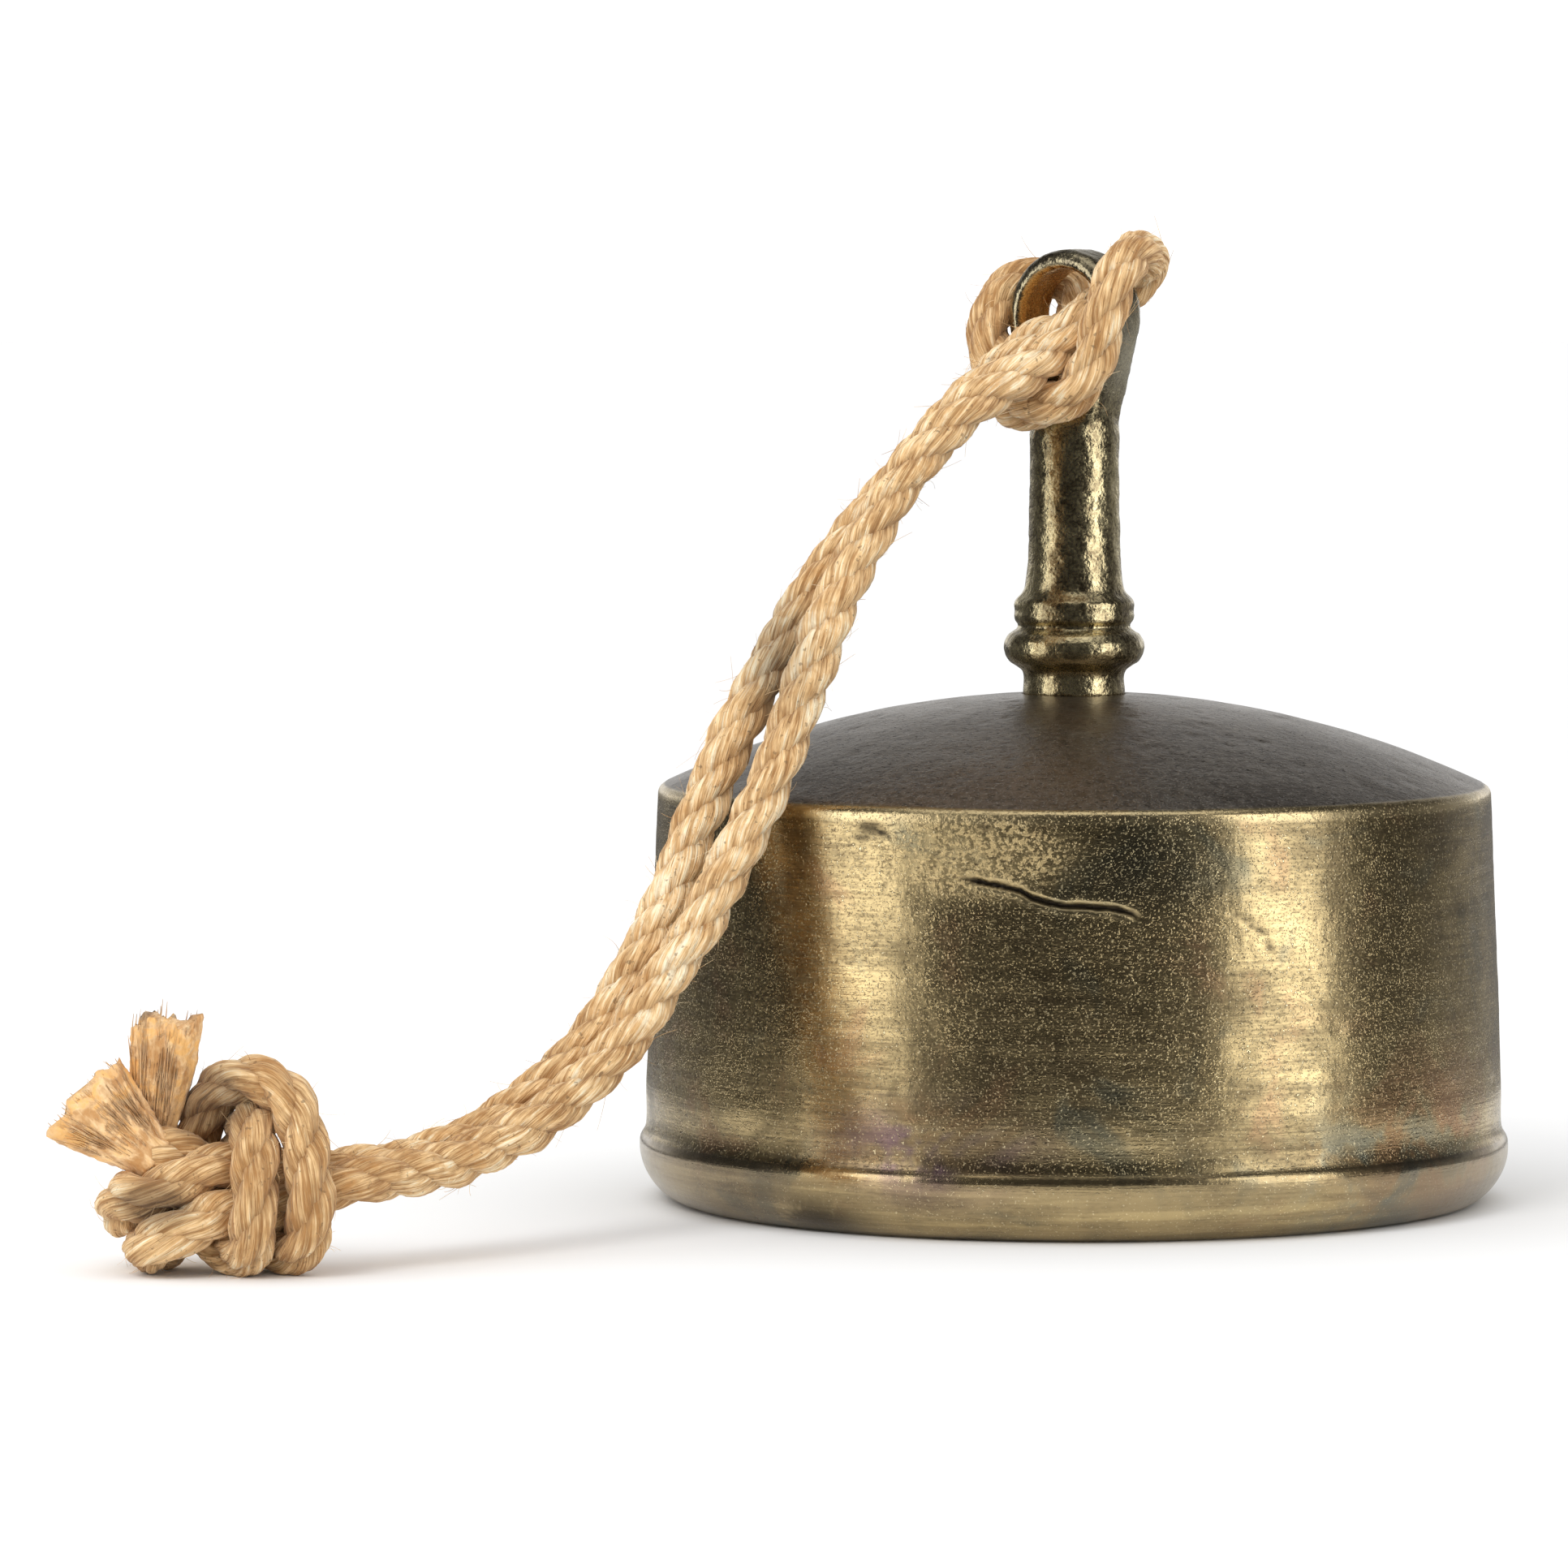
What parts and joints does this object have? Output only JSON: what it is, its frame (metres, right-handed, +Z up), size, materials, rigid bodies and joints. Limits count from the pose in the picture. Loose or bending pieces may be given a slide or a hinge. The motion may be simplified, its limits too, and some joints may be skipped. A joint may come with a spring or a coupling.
{
  "type": "ship bell",
  "caption": "Squat cast brass bell with a turned stem and eye, a doubled jute rope hitched through the eye and knotted, and a clapper pinned under the crown.",
  "frame": {"origin": "centre of the mouth, on the plane the bell stands on", "axes": "+Z up the bell's axis to the eye; +X to the right and -Y towards the viewer, with the rope's tail towards -X and -Y"},
  "size_m": [0.1944, 0.1604, 0.134],
  "materials": {
    "antique_brass": "antiqued cast brass, turned, with dark olive patina and rubbed gold bands",
    "stem_brass": "rough cast antique brass, greenish gold where rubbed",
    "clapper_brass": "satin brass",
    "steel": "zinc plated",
    "leather": "plain vegetable tanned",
    "jute": "three-strand laid natural jute, matt, slightly hairy",
    "frayed_jute": "glued and frayed jute fibre"
  },
  "bodies": {
    "bell": {"bell_shell": "antique_brass", "eye_stem": "stem_brass", "leather_washer": "leather", "flat_washer": "steel", "lock_washer": "steel", "clapper_hanger": "steel", "hinge_pin": "steel", "split_pin": "steel", "rope_hitch": "jute", "rope_leg_a": "jute", "rope_leg_b": "jute", "rope_knot": "jute", "rope_end_a": "frayed_jute", "rope_end_b": "frayed_jute"},
    "clapper": {"clapper_rod": "clapper_brass", "clapper_nut": "clapper_brass", "clapper_ball": "clapper_brass"}
  },
  "joints": [
    {"name": "clapper_swing", "type": "hinge", "parent": "bell", "child": "clapper", "pos_m": [0, 0, 0.051], "axis": [1, 0, 0], "range_deg": [-95.2, 19.5]}
  ]
}
